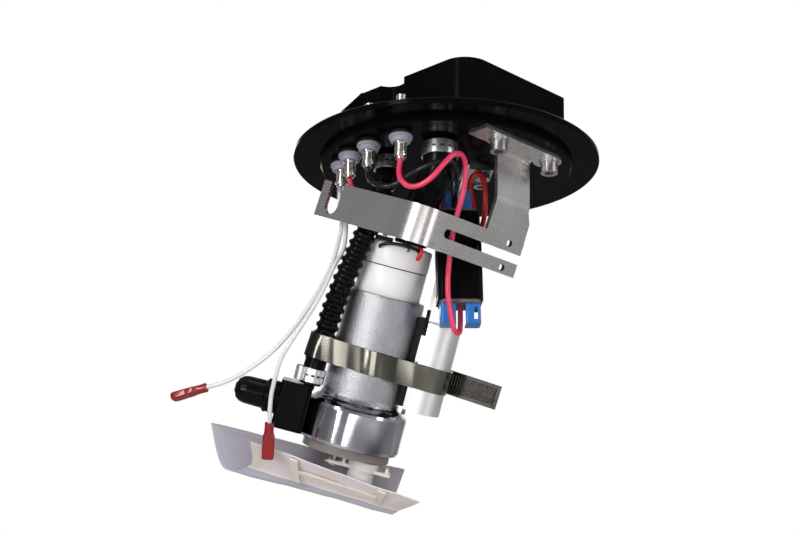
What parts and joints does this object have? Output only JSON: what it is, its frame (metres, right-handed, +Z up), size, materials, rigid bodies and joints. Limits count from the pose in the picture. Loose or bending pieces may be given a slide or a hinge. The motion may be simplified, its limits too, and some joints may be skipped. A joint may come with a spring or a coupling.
{
  "type": "fuel pump assembly",
  "caption": "In-tank fuel pump hung on a folded steel bracket under a black tank cover, with hoses, filter sock, sealed connector and sender leads.",
  "frame": {"origin": "centre of the cover, on the face that seats on the tank ring", "axes": "+Z up out of the tank along the cover's axis; the pump hangs below and leans back; -Y faces the side shown in the picture"},
  "size_m": [0.2073, 0.153, 0.2068],
  "materials": {
    "black_anodised": "gloss black hard anodised",
    "stud_brass": "nickel plated",
    "insulator": "pale grey moulded",
    "zinc": "stainless",
    "sleeve": "tinned",
    "black_fitting": "black anodised",
    "clamp_steel": "bright stainless",
    "hose_rubber": "glossy black rubber",
    "corrugated_nylon": "glossy black",
    "bracket_steel": "brushed stainless",
    "leg_steel": "brushed stainless",
    "pad_rubber": "matt black rubber",
    "spacer_aluminium": "satin",
    "band_steel": "polished stainless",
    "shell_aluminium": "satin, polished collar",
    "cap_plastic": "milky white",
    "valve_black": "black",
    "spring_steel": "bright wire",
    "valve_brass": "machined",
    "magnet": "dark ferrite",
    "winding": "lacquered copper and iron",
    "shaft_steel": "ground",
    "carbon": "carbon",
    "bearing": "sintered",
    "impeller_resin": "cream phenolic",
    "plate_aluminium": "machined",
    "inlet_grey": "cast",
    "ring_plastic": "grey-brown",
    "neck_nylon": "cream nylon",
    "clip_steel": "dark spring steel",
    "sock_mesh": "fine white nylon mesh",
    "stiffener": "cream nylon",
    "soft_cap": "glossy black vinyl",
    "connector_black": "black",
    "seal_grey": "grey silicone",
    "lock_blue": "sky blue",
    "pink_wire": "pink insulation",
    "black_wire": "black insulation",
    "red_wire": "red insulation",
    "magenta_wire": "magenta insulation",
    "white_wire": "white insulation",
    "terminal_red": "translucent red vinyl",
    "plug_black": "black"
  },
  "bodies": {
    "frame": {"hat": "black_anodised", "studs": "stud_brass", "stud_insulators_upper": "insulator", "stud_insulators_lower": "insulator", "stud_washers": "zinc", "stud_nuts": "zinc", "stud_sleeves": "sleeve", "feed_barb": "black_fitting", "return_barb": "black_fitting", "feed_clamp": "clamp_steel", "return_clamp": "clamp_steel", "feed_hose": "hose_rubber", "return_hose": "corrugated_nylon", "fitting_clamp": "clamp_steel", "bracket": "bracket_steel", "bracket_screws": "zinc", "pump_leg": "leg_steel", "leg_screws": "zinc", "isolator_pad": "pad_rubber", "spacer": "spacer_aluminium", "clamp_band": "band_steel", "clamp_housing": "band_steel", "clamp_screw": "zinc", "pump_shell": "shell_aluminium", "pump_cap": "cap_plastic", "pump_lid": "cap_plastic", "check_spring": "spring_steel", "relief_spring": "spring_steel", "magnets": "magnet", "brushes": "carbon", "brush_springs": "spring_steel", "upper_bearing": "bearing", "lower_bearing": "bearing", "outlet_plate": "plate_aluminium", "inlet_plate": "inlet_grey", "base_ring": "ring_plastic", "sock_neck": "neck_nylon", "sock_clip": "clip_steel", "filter_sock": "sock_mesh", "sock_frame": "stiffener", "return_fitting": "black_fitting", "port_cap": "soft_cap", "connector": "connector_black", "connector_seal": "seal_grey", "connector_locks": "lock_blue", "pink_lead": "pink_wire", "black_lead": "black_wire", "red_lead": "red_wire", "magenta_lead": "magenta_wire", "white_lead_long": "white_wire", "white_lead_short": "white_wire", "terminal_long": "terminal_red", "terminal_short": "terminal_red", "pump_plug": "plug_black"},
    "rotor": {"armature": "winding", "shaft": "shaft_steel", "commutator": "winding", "impeller": "impeller_resin"},
    "outlet_check": {"check_valve": "valve_black"},
    "relief": {"relief_valve": "valve_brass"}
  },
  "joints": [
    {"name": "rotor_spin", "type": "hinge", "parent": "frame", "child": "rotor", "pos_m": [-0.02841, 0.00296, -0.06864], "axis": [0.2338, -0.3398, 0.911], "continuous": true},
    {"name": "outlet_check_lift", "type": "slide", "parent": "frame", "child": "outlet_check", "axis": [0.2338, -0.3398, 0.911], "range_m": [0, 0.002], "stiffness_N_per_m": 150, "springref_m": -0.002},
    {"name": "relief_lift", "type": "slide", "parent": "frame", "child": "relief", "axis": [0.2338, -0.3398, 0.911], "range_m": [0, 0.0015], "stiffness_N_per_m": 1500, "springref_m": -0.003}
  ]
}
